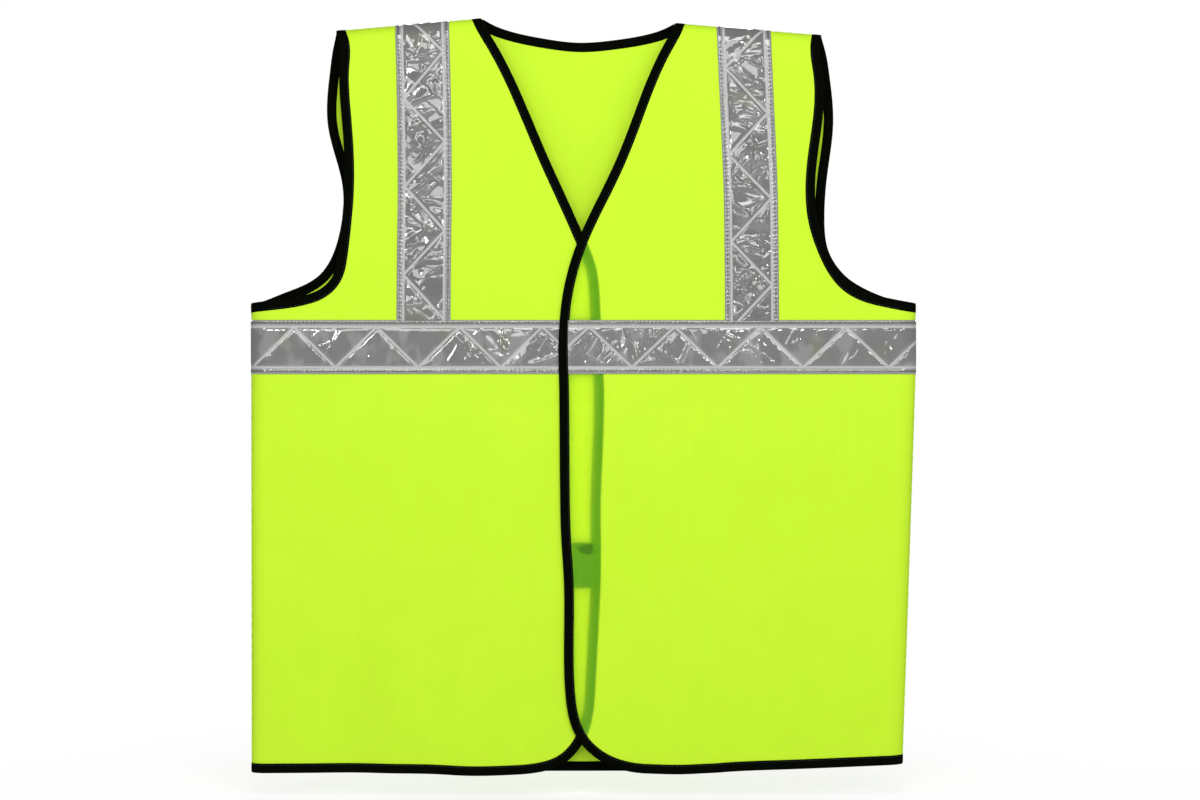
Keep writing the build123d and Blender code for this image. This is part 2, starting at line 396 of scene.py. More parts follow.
def shared_index(x):
    """Numbers for a grid's points, with one number for neighbours in a row that coincide."""
    new = np.ones(x.shape, bool)
    new[:, 1:] = np.abs(np.diff(x, axis=1)) > 1e-6
    index = np.cumsum(new.ravel()).reshape(x.shape) - 1
    return index, new


def turn_outward(mesh):
    """Turns all faces of a closed mesh outward."""
    work = bmesh.new()
    work.from_mesh(mesh)
    bmesh.ops.recalc_face_normals(work, faces=work.faces)
    work.to_mesh(mesh)
    work.free()


def settle(piece, replaced=(), bends_with=None, body=ROOT_BODY):
    """Rides a piece on a body, or only bakes its place when it belongs to a front that swings, and hides the
    CAD parts it replaces.
    """
    if bends_with is None:
        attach(piece, body)
    else:
        hinge_x, hinge_y, _ = HINGE[bends_with]
        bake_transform(piece)
    if replaced:
        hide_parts(*replaced)
    return piece


# Cloth panels

def crest_steps(count):
    """Distances from a fold's crest out to its reach, closest together at the crest."""
    return FOLD_REACH * (1 - np.cos(np.linspace(0, math.pi / 2, count)))


def spaced_rows():
    """Heights of a sheet's rows below its top line: close together where its outline turns."""
    coarse, fine, corner_reach = 4.5, 1.5, 76
    armhole_low, bottom = SIDE_TOP[1], HEM + RIM_INSET
    upper = np.arange(-FOLD_REACH - 4, armhole_low + 45, -coarse)
    round_armhole = np.arange(armhole_low + 44, armhole_low - 3, -fine)
    middle = np.arange(armhole_low - 6, bottom + corner_reach + 2, -coarse)
    corner = bottom + corner_reach * (1 - np.sin(np.linspace(0, math.pi / 2, 28)))
    return np.concatenate([-crest_steps(9), upper, round_armhole, middle, corner])


def spaced_columns(start):
    """Places of a sheet's columns from the centre out to the side, closest where a front bends."""
    wide = np.arange(start, HALF_WIDTH - FOLD_REACH, 4.0)
    bend = np.arange(HINGE[LEFT][X] - 34, HINGE[LEFT][X] + 10, 1.0) + 0.5
    return np.unique(np.round(np.concatenate([wide, bend, HALF_WIDTH - crest_steps(9)]), 4))


def level(z_below, top_line):
    """Height of a row's point: rows follow the top line and become level lower down."""
    return z_below + (1 - smoothstep(-z_below, 0, 170)) * top_line


def outline_x(line, z_below, top_line_at):
    """Where rows meet an edge that comes down from the shoulder."""
    order = np.argsort(line[:, 1])
    x = np.interp(z_below, line[order, 1], line[order, 0])
    for _ in range(6):
        x = np.interp(level(z_below, top_line_at(x)), line[order, 1], line[order, 0])
    return x


def cut_area(outline):
    """Area inside a closed line, in square metres."""
    x, z = outline[:, 0], outline[:, 1]
    return abs(np.sum(x * np.roll(z, -1) - z * np.roll(x, -1))) / 2 * MM**2


def outer_x(side, sheet, rows, top_line_at):
    """Where rows end, at the armhole's rim or at the side fold."""
    hole = inset(armhole(side, sheet), RIM_INSET, -1)
    return np.where(rows > hole[-1, 1], outline_x(hole, rows, top_line_at), HALF_WIDTH)[:, None]


def cloth(name, x, z, sheet, mirrored, fabric):
    """A sheet on a grid of places of the cut, and the places of its points."""
    index, new = shared_index(x)
    points = surface(mirrored * x, z, sheet)[new]
    cut = np.stack([mirrored * x, z, np.zeros_like(z)], axis=-1)[new]
    faces = grid_faces(index, flip=sheet != LEFT)
    panel = make_piece(name, points, faces, cut, fabric, closed=False)
    modifier = panel.modifiers.new("thickness", "SOLIDIFY")
    modifier.thickness = CLOTH * MM
    modifier.offset = 0.0
    return panel, cut


def front_panel(side):
    """One front: from the shoulder fold to the hem, and from its edge to the side fold."""
    rows = spaced_rows()
    edge = inset(front_edge(side), RIM_INSET, 1)
    edge = edge[edge[:, 1] > HEM + RIM_INSET + 1e-3]
    inner = np.where(rows > edge[0, 1], NECK_CORNER[0], np.interp(rows, edge[::-1, 1], edge[::-1, 0]))
    x = np.clip(spaced_columns(-24.0), inner[:, None], outer_x(side, side, rows, shoulder_height))
    z = level(rows[:, None], shoulder_height(x))
    fabric = material(over_knit, "hi_vis_knit_over") if side == LEFT else material(knit, "hi_vis_knit")
    panel, cut = cloth(f"cloth_{side}_front", x, z, side, SIGN[side], fabric)
    if side == LEFT:
        store(panel.data, "past_under_rim", "FLOAT", "value", past_under_rim(cut))
    settle(panel, [f"{side}_front_panel", f"{side}_front_flap"], side)
    return panel, cut_area(np.concatenate([front_edge(side), armhole(side, side)[::-1]]))


def past_under_rim(cut):
    """How far each point of the upper front lies past the free edge of the front below it."""
    rim = front_edge(RIGHT)
    rim = rim[rim[:, 1] > HEM + 0.5]
    return cut[:, 0] + np.interp(cut[:, 1], rim[::-1, 1], rim[::-1, 0])


def back_top_line(x):
    """Height of the back sheet's top edge, along the neck and the shoulders."""
    neck = back_neck()
    inside = np.interp(x, neck[:, 0], neck[:, 1]) - RIM_INSET * smoothstep(NECK_CORNER[0] - np.abs(x), 0, 12)
    return np.where(np.abs(x) < NECK_CORNER[0], inside, shoulder_height(x))


def back_panel():
    """The back sheet, from side fold to side fold."""
    rows = spaced_rows()
    half = spaced_columns(0.0)
    columns = np.concatenate([-half[:0:-1], half])
    limits = {side: SIGN[side] * outer_x(side, BACK, rows, back_top_line) for side in SIGN}
    x = np.clip(columns, limits[RIGHT], limits[LEFT])
    z = level(rows[:, None], back_top_line(x))
    panel, _ = cloth("cloth_back", x, z, BACK, 1, material(knit, "hi_vis_knit"))
    settle(panel, ["back_panel"])
    holes = {side: armhole(side, BACK) * (SIGN[side], 1) for side in SIGN}
    corners = np.array([(HALF_WIDTH, HEM), (-HALF_WIDTH, HEM)])
    return panel, cut_area(np.concatenate([back_neck(), holes[LEFT], corners, holes[RIGHT][::-1]]))


# Bindings

def tube_profile():
    """Section of a folded binding: (distance in from the rim, height off the cloth)."""
    width, high = BINDING_WIDTH, BINDING_HALF_THICKNESS
    groove = 0.72 * high
    top = [(width, 0.45 * high), (width - 0.35, high), (width - 1.0, high), (width - 1.4, groove)]
    for share in np.linspace(0, 1, 9):
        crown = 1 + 0.06 * math.sin(math.pi * share)
        top.append((width - 1.9 - share * (width - 3.2), crown * high))
    top.append((0.4, groove))
    return np.array(top + [(0.0, 0.0)] + [(inward, -height) for inward, height in top[::-1]])


def tube_faces(count, ring):
    """Faces of a closed tube of this many rings, each with this many points."""
    faces = []
    for i in range(count - 1):
        for k in range(ring):
            a, b = i * ring + k, i * ring + (k + 1) % ring
            faces.append([a, b, b + ring, a + ring])
    faces.append(list(range(ring))[::-1])
    faces.append([(count - 1) * ring + k for k in range(ring)])
    return faces


def swept_trim(path, profile):
    """Points and flat places of a profile swept along a path of spots, inward directions and sheets."""
    spots, inward, sheets = path
    at = spots[:, None] + profile[:, :1] * inward[:, None]
    place_on_sheet = (at[..., 0], at[..., 1], sheets[:, None])
    points = surface(*place_on_sheet) + profile[:, 1:] * outward(*place_on_sheet)
    along = np.repeat(lengths_along(spots)[:, None], len(profile), axis=1)
    section = np.broadcast_to(profile, (*along.shape, 2))
    return points, np.concatenate([along[..., None], section], axis=-1)


def stations(line, turn, sheet, start, end, mirrored=1, spacing=3.0):
    """Stations along an edge. start and end set the inward direction where the edge meets a crest."""
    near_crest = np.array([0, 0.15, 0.6, 1.3])
    crest_gap = 2.2
    turn_over = 12.0
    whole = lengths_along(line)[-1]
    at = np.linspace(0, whole, max(3, int(whole / spacing)))
    at = at[(at > crest_gap) & (at < whole - crest_gap)]
    at = np.concatenate([near_crest, at, whole - near_crest[::-1]])
    spots = resample(line, at)
    inward = resample(np.concatenate([line, inward_normals(line, turn)], axis=1), at)[:, 2:]
    for direction, distance in ((start, at), (end, whole - at)):
        share = 1 - smoothstep(distance, 0, turn_over)[:, None]
        inward = inward * (1 - share) + np.asarray(direction)[None, :] * share
    flip = np.array([mirrored, 1])
    return spots * flip, unit(inward) * flip, np.full(len(at), sheet)


def binding(name, path, replaced, bends_with=None):
    """A folded strip swept along a path of stations."""
    profile = tube_profile()
    points, cut = swept_trim(path, profile)
    black = material(woven, "black_binding")
    piece = make_piece(name, points, tube_faces(len(points), len(profile)), cut, black)
    return settle(piece, replaced, bends_with)


def edge_binding(side):
    """From the neck corner down the V and the front edge, and along the hem to the side fold."""
    path = stations(front_edge(side), 1, side, shoulder_direction(), (0, 1), SIGN[side], spacing=1.2)
    replaced = [f"{side}_edge_binding", f"{side}_front_hem_binding"]
    return binding(f"trim_{side}_edge", path, replaced, side)


def armhole_binding(side):
    """One loop: down the front armhole to the side fold and up the back one to the shoulder."""
    ends = (-shoulder_direction(), (0, -1), SIGN[side])
    down = stations(armhole(side, side), -1, side, *ends)
    up = stations(armhole(side, BACK), -1, BACK, *ends)
    path = [np.concatenate([front, back[-2::-1]]) for front, back in zip(down, up)]
    replaced = [f"{side}_front_armhole_binding", f"{side}_back_armhole_binding"]
    return binding(f"trim_{side}_armhole", path, replaced)


def neck_binding():
    """Along the back neck, from shoulder fold to shoulder fold."""
    along = shoulder_direction()
    path = stations(back_neck(), -1, BACK, (-along[0], along[1]), along)
    return binding("trim_back_neck", path, ["neck_binding"])


def back_hem_binding():
    """Along the back hem, from side fold to side fold."""
    line = np.linspace((-HALF_WIDTH, HEM), (HALF_WIDTH, HEM), 1200)
    return binding("trim_back_hem", stations(line, 1, BACK, (0, 1), (0, 1)), ["back_hem_binding"])


# Seams along the folds

def seam(name, crest_line, inward, replaced):
    """A narrow sewn ridge that straddles a crest. inward points from the crest into the cloth."""
    half_width, half_thickness = 1.9, 0.5
    out = -unit(np.array([inward[0], 0, inward[1]]))
    angles = np.linspace(-math.pi, math.pi, 13)[:-1]
    points, cut = [], []
    for i, (x, z) in enumerate(crest_line):
        crest = surface(x, z, LEFT)
        ripple = 1 + 0.18 * math.sin(i * 1.3)
        for angle in angles:
            back_forth = half_width * math.cos(angle)
            height = half_thickness * (0.4 + math.sin(angle)) * ripple
            droop = 0.175 * abs(back_forth)
            points.append(crest + np.array([0, back_forth, 0]) + out * (height - droop))
            cut.append((i * SEAM_STEP, back_forth, height))
    faces = tube_faces(len(crest_line), len(angles))
    piece = make_piece(name, points, faces, cut, material(knit, "hi_vis_knit"))
    settle(piece, [replaced])


def seams(side):
    """The seams along a side fold and a shoulder fold, each between two bindings."""
    sign = SIGN[side]
    heights = np.arange(SIDE_TOP[1] - BINDING_WIDTH + 2, HEM + BINDING_WIDTH - 3, -SEAM_STEP)
    side_line = [(sign * HALF_WIDTH, z) for z in heights]
    seam(f"seam_{side}_side", side_line, (-sign, 0.0), f"{side}_side_seam")
    reaches = np.arange(NECK_CORNER[0] + BINDING_WIDTH - 2, SHOULDER_TIP[0] - BINDING_WIDTH + 2, SEAM_STEP)
    shoulder_line = [(sign * x, shoulder_height(x)) for x in reaches]
    tilt = shoulder_direction()
    seam(f"seam_{side}_shoulder", shoulder_line, (sign * tilt[1], -tilt[0]), f"{side}_shoulder_seam")


# Reflective tapes

def weld_distance(travel, across):
    """Distance to the nearest weld line of the film: two border lines and a zigzag."""
    from_middle = across - TAPE_WIDTH / 2
    border = np.abs(np.abs(from_middle) - HALF_INNER)
    zigzag_at = HALF_INNER - np.abs(np.mod(travel, 4 * HALF_INNER) - 2 * HALF_INNER)
    zigzag = np.abs(from_middle - zigzag_at) / math.hypot(1, 4 * HALF_INNER / WELD_PITCH)
    return np.minimum(border, np.where(np.abs(from_middle) < HALF_INNER, zigzag, TAPE_WIDTH))


def noise_at(u, v, size, seed):
    """Smooth noise over a grid, with features of this size."""
    flat = [
        noise.noise(Vector((a / size, b / size, seed * 7.31)))
        for a, b in zip(np.ravel(u).tolist(), np.ravel(v).tolist())
    ]
    return np.array(flat).reshape(np.shape(u))


def creases(along, across, seed):
    """Height of a crumpled film: broad facets with one steep side, and narrow rounded wrinkles."""
    rng = np.random.default_rng(seed)
    low, high = along.min(), along.max()
    bent_along = along + 6 * noise_at(along, across, 26, seed + 3)
    bent_across = across + 6 * noise_at(along, across, 22, seed + 4)
    facets = np.zeros(along.shape)
    wrinkles = np.zeros(along.shape)
    for i in range(int((high - low) / CREASE_SPACING)):
        off_along = bent_along - rng.uniform(low, high)
        off_across = bent_across - rng.uniform(WELD_INSET, TAPE_WIDTH - WELD_INSET)
        angle = rng.normal(math.pi / 2, 0.6)
        run = off_along * math.cos(angle) + off_across * math.sin(angle)
        aside = (off_across * math.cos(angle) - off_along * math.sin(angle)) * rng.choice([-1, 1])
        fade = np.clip(1 - (run / rng.uniform(8, 27)) ** 2, 0, 1)
        steep, shallow, width = rng.uniform(0.9, 1.8), rng.uniform(5, 13), rng.uniform(1.1, 2.4)
        if i % 4 == 0:
            tent = np.clip(1 - np.where(aside > 0, aside / steep, -aside / shallow), 0, 1)
            facets = np.maximum(facets, rng.uniform(0.5, 1.3) * tent * fade)
        else:
            wrinkles = wrinkles + rng.uniform(0.2, 0.8) * bump(aside, 0, width) * fade
    return facets + np.minimum(wrinkles, 1.2)


def film_height(along, across, travel, seed, slack):
    """Height of the clear film above the tape's backing. The welds and the rims hold it down."""
    free = 1 - bump(weld_distance(travel, across), 0, 2.0)
    edge = np.minimum(across, TAPE_WIDTH - across)
    margin = smoothstep(edge, 0, 1.2)
    inside = smoothstep(edge, WELD_INSET - 1, WELD_INSET + 1)
    sag = 0.9 * noise_at(along, across, 31, seed + 5) + 0.35 * noise_at(along, across, 13, seed + 6)
    loose = slack * creases(along, across, seed) + np.minimum(1.2 * slack, 1) * sag
    drift = 2.5 * noise_at(along, across, 9, seed + 7)
    pucker = 0.16 * np.sin(along * 2 * math.pi / TAPE_STITCH["pitch"] + drift)
    pucker = pucker * bump(edge, STITCH_INSET, 1.3) * (0.6 + slack)
    return margin * (0.2 + free * (0.35 + inside * loose)) + pucker


def with_sides(grid):
    """A grid's values and those of its first and last columns, which lie once more underneath."""
    return np.concatenate([grid.reshape(-1, *grid.shape[2:]), grid[:, 0], grid[:, -1]])


def tape(name, x, z, sheets, along, travel, seed, slack, tone, replaced, bends_with=None):
    """A strip of tape on a grid of places of the cut, closed underneath."""
    rows, columns = x.shape
    across = np.broadcast_to(tape_columns(), x.shape)
    film = film_height(along, across, travel, seed, slack)
    base = surface(x, z, sheets)
    normal = outward(x, z, sheets)
    top = base + normal * (CLOTH / 2 + FILM_HEIGHT + FILM_RELIEF * film)[..., None]
    under = base + normal * (CLOTH / 2 - 0.05)
    points = np.concatenate([top.reshape(-1, 3), under[:, 0], under[:, -1]])
    index = np.arange(rows * columns).reshape(rows, columns)
    left = index.size + np.arange(rows)
    right = left + rows
    faces = grid_faces(index)
    for strip in ([left, index[:, 0]], [index[:, -1], right], [right, left]):
        faces += grid_faces(np.stack(strip, axis=1))
    faces.append([*index[0].tolist(), int(right[0]), int(left[0])])
    faces.append([int(left[-1]), int(right[-1]), *index[-1, ::-1].tolist()])
    cut = np.stack([travel, across, np.full(x.shape, tone)], axis=-1)
    film_material = material(film_over_prisms, "reflective_film")
    piece = make_piece(name, points, faces, with_sides(cut), film_material)
    store(piece.data, "film", "FLOAT", "value", with_sides(film))
    return settle(piece, replaced, bends_with)


def tape_columns():
    """Places across a tape, closest at its rims."""
    return np.concatenate([[0, 0.5], np.linspace(1.1, TAPE_WIDTH - 1.1, 62), [TAPE_WIDTH - 0.5, TAPE_WIDTH]])


def zigzag_travel(distance, pitch):
    """Distance along a tape, scaled so that the zigzag repeats as often as it does there."""
    return distance * 4 * HALF_INNER / pitch


def brace_middle(side, z):
    """Centre line of a brace tape, which lies a little askew and splays downward."""
    splay = BRACE_SPLAY * smoothstep(-z, 0, 280)
    return BRACE_CENTRE + SIGN[side] * BRACE_SHIFT + splay - 1.0


def brace_tape(side):
    """Up the front, over the shoulder and down the back, in one strip."""
    straight = np.arange(CHEST_TOP - 1.0, -FOLD_REACH - 0.5, 0.75)
    front = np.concatenate([straight, -crest_steps(14)[::-1]])
    below = np.concatenate([front, front[-2::-1]])
    sheets = np.array([side] * len(front) + [BACK] * (len(front) - 1))
    middle_x = SIGN[side] * brace_middle(side, below)
    middle = surface(middle_x, level(below, shoulder_height(BRACE_CREST_AT)), sheets)
    x = middle_x[:, None] + tape_columns() - TAPE_WIDTH / 2
    z = level(below[:, None], shoulder_height(x))
    along = np.repeat(lengths_along(middle)[:, None], x.shape[1], axis=1)
    travel = zigzag_travel(along + ZIGZAG_LEAD[side], BRACE_PITCH[side])
    slack = 0.5 + 0.95 * bump(below, -130, 95)[:, None]
    seed = {LEFT: 11, RIGHT: 23}[side]
    replaced = [f"{side}_front_brace_tape", f"{side}_back_brace_tape"]
    return tape(f"tape_{side}_brace", x, z, sheets[:, None], along, travel, seed, slack, 0.0, replaced)


def chest_tape(name, sheet, line, zigzag, *others):
    """A level strip of the chest tape. line holds x of its rows, and zigzag its travel there."""
    x, down = np.meshgrid(line, tape_columns(), indexing="ij")
    travel = np.repeat(zigzag[:, None], x.shape[1], axis=1)
    along = x if sheet != BACK else -x
    return tape(name, x, CHEST_TOP - down, sheet, along, travel, *others)


def front_chest_tape(side):
    """From the edge binding to the side fold."""
    start = BINDING_WIDTH - 1.5 - FRONT_EDGE_AT_CHEST[side]
    level_run = np.arange(start, HALF_WIDTH - FOLD_REACH - 0.5, 0.75)
    line = np.sort(SIGN[side] * np.concatenate([level_run, HALF_WIDTH - crest_steps(14)]))
    zigzag = zigzag_travel(line - CHEST_ZIGZAG_TOP[side], CHEST_PITCH[side])
    seed = {LEFT: 37, RIGHT: 41}[side]
    slack = chest_slack(line)[:, None]
    replaced = [f"{side}_front_chest_tape", f"{side}_flap_chest_tape"]
    return chest_tape(f"tape_{side}_chest", side, line, zigzag, seed, slack, 1.0, replaced, side)


def chest_slack(x):
    """The chest tape is loosest beside the front edge, towards the wearer's left."""
    return 0.22 - 0.13 * smoothstep(-x, 80, 130) + bumps(x, LOOSE_FILM)


def back_chest_tape():
    """From side fold to side fold."""
    inner = np.arange(-HALF_WIDTH + FOLD_REACH + 0.8, HALF_WIDTH - FOLD_REACH - 0.8, 1.15)
    to_fold = HALF_WIDTH - crest_steps(14)
    line = np.concatenate([to_fold, inner[::-1], -to_fold[::-1]])
    zigzag = zigzag_travel(-line, WELD_PITCH)
    return chest_tape("tape_back_chest", BACK, line, zigzag, 53, 0.4, 1.0, ["back_chest_tape"])


# Hook and loop patches

def patch(side, node, facing, slot, dark, light, grain_size):
    """A rounded patch with a sewn rim and a worked face. facing is 1 on the face of its front."""
    columns, rows = 41, 81
    low, high = (np.array(corner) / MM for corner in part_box(node))
    half = (high - low) / 2
    middle = (high + low) / 2
    u, v = np.meshgrid(np.linspace(-1, 1, columns), np.linspace(-1, 1, rows))
    rounding = 1 - 0.03 * np.clip(np.abs(u) ** 8 + np.abs(v) ** 16, 0, 1)
    x = middle[X] + half[X] * u * rounding
    z = middle[Z] + half[Z] * v * rounding
    base = surface(x, z, side)
    away = outward(x, z, side) * facing
    from_rim = np.minimum(1 - np.abs(u), (1 - np.abs(v)) * half[Z] / half[X])
    sewn = bump(from_rim, 0.16, 0.04)
    worked = 0.12 * np.sin(u * 55) * np.sin(v * 110) * smoothstep(from_rim, 0.2, 0.26)
    height = 0.15 + 0.85 * smoothstep(from_rim, 0, 0.06) * (1 - 0.25 * sewn) + worked
    top = (base + away * (CLOTH / 2 + height)[..., None]).reshape(-1, 3)
    under = (base + away * (CLOTH / 2 + 0.12)).reshape(-1, 3)
    index = np.arange(rows * columns).reshape(rows, columns)
    ring = np.concatenate([index[0], index[1:, -1], index[-1, -2::-1], index[-2:0:-1, 0]])
    low_ring = index.size + np.arange(len(ring))
    faces = grid_faces(index)
    faces += np.stack([ring, np.roll(ring, -1), np.roll(low_ring, -1), low_ring], axis=1).tolist()
    faces.append(low_ring.tolist())
    cut = np.stack([x, z, height], axis=-1).reshape(-1, 3)
    cut = np.concatenate([cut, cut[ring] * (1, 1, 0)])
    points = np.concatenate([top, under[ring]])
    fuzzy = material(fastener, slot, dark, light, grain_size)
    settle(make_piece(f"fastener_{node}", points, faces, cut, fuzzy), [node], body=BODY[side])


# Stitching

def stitch_row(line, sheet, seed, lift, pitch, length, radius, wander):
    """Points of each short thread stitch along a line of the cut: 5 rings of 5 points."""
    rng = np.random.default_rng(seed)
    whole = lengths_along(line)[-1]
    rings = np.array([(-0.5, -0.8), (-0.38, 0.25), (0.0, 0.75), (0.38, 0.25), (0.5, -0.8)])
    corners = np.linspace(0, 2 * math.pi, 6)[:-1, None]
    for start in np.arange(pitch / 2, whole - pitch / 2, pitch):
        jitter = rng.normal(0, 0.06 * pitch)
        aside = rng.normal(0, wander)
        spots = resample(line, np.clip(start + jitter + rings[:, 0] * length, 0, whole))
        spots = spots + aside * unit(spots[-1] - spots[0])[::-1] * (-1, 1)
        where = surface(spots[:, 0], spots[:, 1], sheet)
        normal = outward(spots[:, 0], spots[:, 1], sheet)
        sideways = unit(np.cross(where[-1] - where[0], normal[2]))
        middles = where + normal * (lift + rings[:, 1:] * radius)
        round_ring = np.cos(corners) * sideways + np.sin(corners) * normal[:, None]
        yield (middles[:, None] + radius * round_ring).reshape(-1, 3)


def stitching(name, rows, on_tape, bends_with=None):
    """All the stitches of these rows as one piece, on a tape or on a binding."""
    size, look, slot = TAPE_STITCH, PALE_THREAD, "reflective_tape"
    if not on_tape:
        size, look, slot = TRIM_STITCH, BLACK_THREAD, "binding"
    stitches = [stitch for row in rows for stitch in stitch_row(*row, **size)]
    tube = tube_faces(5, 5)
    faces = [[25 * i + k for k in face] for i in range(len(stitches)) for face in tube]
    points = np.concatenate(stitches)
    settle(make_piece(name, points, faces, points, material(thread, *look)), bends_with=bends_with)


def chest_stitches(side):
    """Rows in the margins of a front chest tape."""
    start = SIGN[side] * (BINDING_WIDTH - FRONT_EDGE_AT_CHEST[side])
    end = SIGN[side] * (HALF_WIDTH - 14)
    heights = [CHEST_TOP - STITCH_INSET, CHEST_LOW + STITCH_INSET]
    return [(np.linspace((start, z), (end, z), 600), side, seed) for z, seed in zip(heights, (1, 2))]


def brace_stitches(side):
    """Rows in the margins of a brace tape, on the front and then on the back."""
    below = np.linspace(-FOLD_REACH, CHEST_TOP - 1, 400)
    rows = []
    for sheet in (side, BACK):
        for aside, seed in ((STITCH_INSET - TAPE_WIDTH / 2, 5), (TAPE_WIDTH / 2 - STITCH_INSET, 6)):
            x = brace_middle(side, below) + aside
            line = np.stack([SIGN[side] * x, level(below, shoulder_height(x))], axis=1)
            rows.append((line, sheet, seed))
    return rows


def edge_stitches(side):
    """The row along the inner rim of an edge binding."""
    line = inset(front_edge(side), BINDING_WIDTH - TRIM_STITCH_INSET, 1)
    return [(line[lengths_along(line) > 14] * (SIGN[side], 1), side, 9)]


def armhole_stitches(side):
    """Rows along the inner rim of an armhole binding, on the front and then on the back."""
    rows = []
    for sheet in (side, BACK):
        line = inset(armhole(side, sheet), BINDING_WIDTH - TRIM_STITCH_INSET, -1)
        along = lengths_along(line)
        clear_of_folds = (along > 14) & (along < along[-1] - 14)
        rows.append((line[clear_of_folds] * (SIGN[side], 1), sheet, 12))
    return rows


# Materials

@cache
def material(look, name, *details):
    """A material whose surface is the shader node that look makes in its tree."""
    made = bpy.data.materials.new(name)
    made.use_nodes = True
    tree = made.node_tree
    tree.nodes.clear()
    add(tree, "OutputMaterial", {"Surface": look(tree, *details).outputs[0]})
    return made


def feed(tree, socket, value):
    """Sets an input socket to a value, or links it to an output socket."""
    if isinstance(value, bpy.types.NodeSocket):
        tree.links.new(value, socket)
    else:
        socket.default_value = value


def add(tree, kind, inputs=None, **settings):
    """A shader node with its settings and inputs."""
    node = tree.nodes.new("ShaderNode" + kind)
    for key, value in settings.items():
        setattr(node, key, value)
    for key, value in (inputs or {}).items():
        feed(tree, node.inputs[key], value)
    return node


def maths(tree, operation, *values):
    """The outcome of a sum on sockets and numbers."""
    return add(tree, "Math", dict(enumerate(values)), operation=operation).outputs[0]


def weighted(tree, *terms):
    """The sum of sockets that are each multiplied by a number. A term is (socket, number)."""
    total = None
    for socket, weight in terms:
        part = socket if weight == 1 else maths(tree, "MULTIPLY", socket, weight)
        total = part if total is None else maths(tree, "ADD", total, part)
    return total


def flat_place(tree):
    """The point's place on its own cut, and that place's three parts."""
    vector = add(tree, "Attribute", attribute_name="cut").outputs["Vector"]
    parts = add(tree, "SeparateXYZ", {"Vector": vector}).outputs
    return vector, parts


def scaled(tree, vector, factors):
    """A vector with each part multiplied by a number of its own."""
    return add(tree, "VectorMath", {0: vector, 1: factors}, operation="MULTIPLY").outputs[0]


def grain(tree, vector, size, detail=2.0, roughness=0.5):
    """Noise from 0 to 1 with features of this size in millimetres."""
    settings = {"Vector": vector, "Scale": 1 / (size * MM), "Detail": detail, "Roughness": roughness}
    return add(tree, "TexNoise", settings).outputs["Fac"]


def ramp(tree, value, low, high, to_low, to_high):
    """A smooth step from one number to another as the value goes from low to high."""
    settings = {"Value": value, "From Min": low, "From Max": high, "To Min": to_low, "To Max": to_high}
    return add(tree, "MapRange", settings, interpolation_type="SMOOTHSTEP").outputs[0]


def tint(tree, share, first, second):
    """A colour turned from the first to the second by a share. Either may be a socket."""
    mix = add(tree, "Mix", data_type="RGBA")
    sockets = {socket.name: socket for socket in mix.inputs if socket.enabled}
    feed(tree, sockets["Factor"], share)
    for name, colour in (("A", first), ("B", second)):
        feed(tree, sockets[name], (*colour, 1) if isinstance(colour, tuple) else colour)
    return next(socket for socket in mix.outputs if socket.enabled)


def relief(tree, height, strength, depth):
    """Normals bumped by a height. depth is in millimetres."""
    settings = {"Strength": strength, "Distance": depth * MM, "Height": height}
    return add(tree, "Bump", settings).outputs[0]


def principled(tree, colour, roughness, specular, normal, others=None):
    """The main kind of shader node."""
    return add(tree, "BsdfPrincipled", {
        "Base Color": colour, "Roughness": roughness, "Specular IOR Level": specular, "Normal": normal,
        **(others or {}),
    })


def lattice(tree, parts, pitch):
    """A diamond lattice from two crossing waves, from -1 to 1."""
    turn = 2 * math.pi / (pitch * MM)
    waves = []
    for crossing in ("ADD", "SUBTRACT"):
        diagonal = maths(tree, "MULTIPLY", maths(tree, crossing, parts[0], parts[1]), turn)
        waves.append(maths(tree, "SINE", diagonal))
    return maths(tree, "MULTIPLY", *waves)


def times(colour, factor):
    """A colour with each part multiplied by one number."""
    return tuple(factor * part for part in colour)


def knit(tree, colour=LIME):
    """Opaque cloth with a knit's face."""
    vector, parts = flat_place(tree)
    loops = lattice(tree, parts, 1.7)
    fibre = grain(tree, vector, 0.6)
    cloudy = grain(tree, vector, 45.0, 3.0)
    ribs = grain(tree, scaled(tree, vector, (1, 0.06, 1)), 5.0, 3.0)
    share = weighted(tree, (loops, 0.3), (fibre, 0.35), (cloudy, 0.4), (ribs, 0.25))
    shade = tint(tree, share, times(colour, 0.93), times(colour, 1.07))
    height = weighted(tree, (loops, 1), (fibre, 0.6))
    return principled(tree, shade, 0.75, 0.12, relief(tree, height, 0.35, 0.12))


def over_knit(tree):
    """The upper front's cloth, which shows what lies under it along the overlap."""
    yarns_for_all = 2 / (1 - OPEN_SHARE)
    thin = knit(tree, times(SHEER_BACK, yarns_for_all))
    through = add(tree, "BsdfTranslucent", {
        "Color": (*times(SHEER_THROUGH, yarns_for_all), 1),
        "Normal": thin.inputs["Normal"].links[0].from_socket,
    })
    yarn = add(tree, "MixShader", {0: 0.5, 1: thin.outputs[0], 2: through.outputs[0]})
    gap = add(tree, "BsdfTransparent")
    sheer = add(tree, "MixShader", {0: OPEN_SHARE, 1: yarn.outputs[0], 2: gap.outputs[0]})
    past_rim = add(tree, "Attribute", attribute_name="past_under_rim").outputs["Fac"]
    solid = ramp(tree, past_rim, -0.5 * MM, 2.0 * MM, 0.0, 1.0)
    return add(tree, "MixShader", {0: solid, 1: sheer.outputs[0], 2: knit(tree).outputs[0]})


